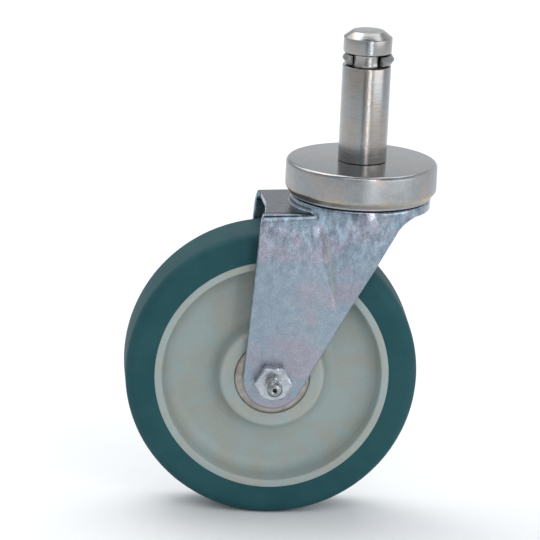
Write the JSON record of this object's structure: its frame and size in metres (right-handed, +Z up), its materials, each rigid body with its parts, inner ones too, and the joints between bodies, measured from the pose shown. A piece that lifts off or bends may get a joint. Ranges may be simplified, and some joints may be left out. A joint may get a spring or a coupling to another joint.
{
  "type": "stem swivel caster",
  "caption": "Swivel caster with a round push-in stem and split grip ring, a ball-race head, a pressed steel fork, a hollow greased axle bolt and a soft-tread wheel on rollers.",
  "frame": {"origin": "where the stem's axis meets the cap's top face, on the swivel axis", "axes": "+Z up along the stem; the wheel trails towards -X; the axle lies along Y, with its greased head on the -Y side"},
  "size_m": [0.1323, 0.0737, 0.2144],
  "materials": {
    "turned_steel": "turned bright steel with a light plating",
    "spring_steel": "hardened spring steel",
    "zinc_sheet": "pressed sheet steel with mottled bluish zinc plating",
    "race_steel": "hardened bearing steel with a film of grease",
    "ball_steel": "polished bearing steel",
    "bright_steel": "bright zinc-plated steel",
    "nylon": "natural nylon",
    "fitting_steel": "zinc-plated steel",
    "core_plastic": "moulded warm grey plastic",
    "tread_rubber": "matt teal moulded tread",
    "cap_sheet": "thin pressed steel"
  },
  "bodies": {
    "stem_head": {"stem": "turned_steel", "grip_ring": "spring_steel", "top_cap": "zinc_sheet", "lower_race": "race_steel"},
    "main_ball_row": {"main_balls": "ball_steel"},
    "lower_ball_row": {"lower_balls": "ball_steel"},
    "fork_assembly": {"fork": "zinc_sheet", "axle_bolt": "bright_steel", "axle_nut": "bright_steel", "nut_insert": "nylon", "spanner_bushing": "race_steel", "grease_fitting": "fitting_steel", "grease_spring": "spring_steel"},
    "check_ball": {"grease_check_ball": "ball_steel"},
    "roller_set": {"rollers": "ball_steel", "roller_cage": "race_steel"},
    "wheel": {"wheel_core": "core_plastic", "tread": "tread_rubber", "bearing_sleeve": "race_steel", "dust_cap_near": "cap_sheet", "dust_cap_far": "cap_sheet", "thrust_washer_near": "race_steel", "thrust_washer_far": "race_steel"}
  },
  "joints": [
    {"name": "swivel", "type": "hinge", "parent": "stem_head", "child": "fork_assembly", "pos_m": [0, 0, 0], "axis": [0, 0, 1], "continuous": true},
    {"name": "main_ball_orbit", "type": "hinge", "parent": "stem_head", "child": "main_ball_row", "pos_m": [0, 0, 0], "axis": [0, 0, 1], "continuous": true},
    {"name": "lower_ball_orbit", "type": "hinge", "parent": "stem_head", "child": "lower_ball_row", "pos_m": [0, 0, 0], "axis": [0, 0, 1], "continuous": true},
    {"name": "wheel_spin", "type": "hinge", "parent": "fork_assembly", "child": "wheel", "pos_m": [-0.036, 0, -0.09376], "axis": [0, 1, 0], "continuous": true},
    {"name": "roller_orbit", "type": "hinge", "parent": "fork_assembly", "child": "roller_set", "pos_m": [-0.036, 0, -0.09376], "axis": [0, 1, 0], "continuous": true},
    {"name": "check_ball_press", "type": "slide", "parent": "fork_assembly", "child": "check_ball", "axis": [0, 1, 0], "range_m": [0, 0.0008], "stiffness_N_per_m": 100, "springref_m": -0.0005, "deforming": ["grease_spring"]}
  ],
  "couplings": [
    {"joint": "main_ball_orbit", "follows": "swivel", "ratio": 0.5},
    {"joint": "lower_ball_orbit", "follows": "swivel", "ratio": 0.5},
    {"joint": "roller_orbit", "follows": "wheel_spin", "ratio": 0.5832}
  ]
}
